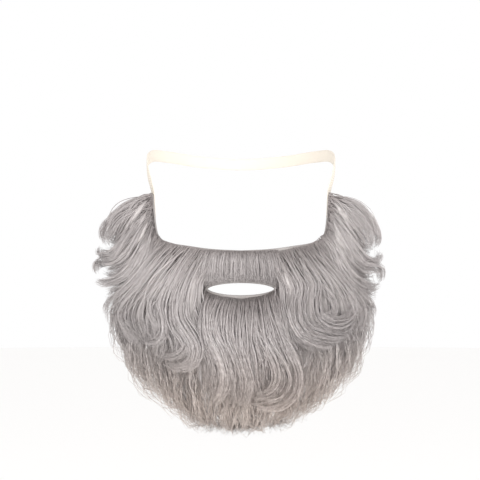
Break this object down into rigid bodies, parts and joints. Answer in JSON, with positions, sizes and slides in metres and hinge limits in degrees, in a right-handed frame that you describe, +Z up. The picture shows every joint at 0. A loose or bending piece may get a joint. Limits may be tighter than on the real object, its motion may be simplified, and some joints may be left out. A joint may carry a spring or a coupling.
{
  "type": "fake beard with moustache",
  "caption": "Full fake beard of wavy grey hair over a moulded cloth backing, with a moustache, a mouth opening and an elastic strap round the head.",
  "frame": {"origin": "middle of the upper lip, on the inner face of the backing, where the beard sits on the face", "axes": "+Z up, the beard faces -Y and the wearer's head is on the +Y side, +X to the right as seen from in front"},
  "size_m": [0.2376, 0.223, 0.2246],
  "materials": {
    "hair": "satin",
    "backing": "matte",
    "elastic": "matte"
  },
  "bodies": {
    "root": {"face_backing": "backing", "beard_hair": "hair", "moustache_hair": "hair", "elastic_strap": "elastic"}
  },
  "joints": []
}
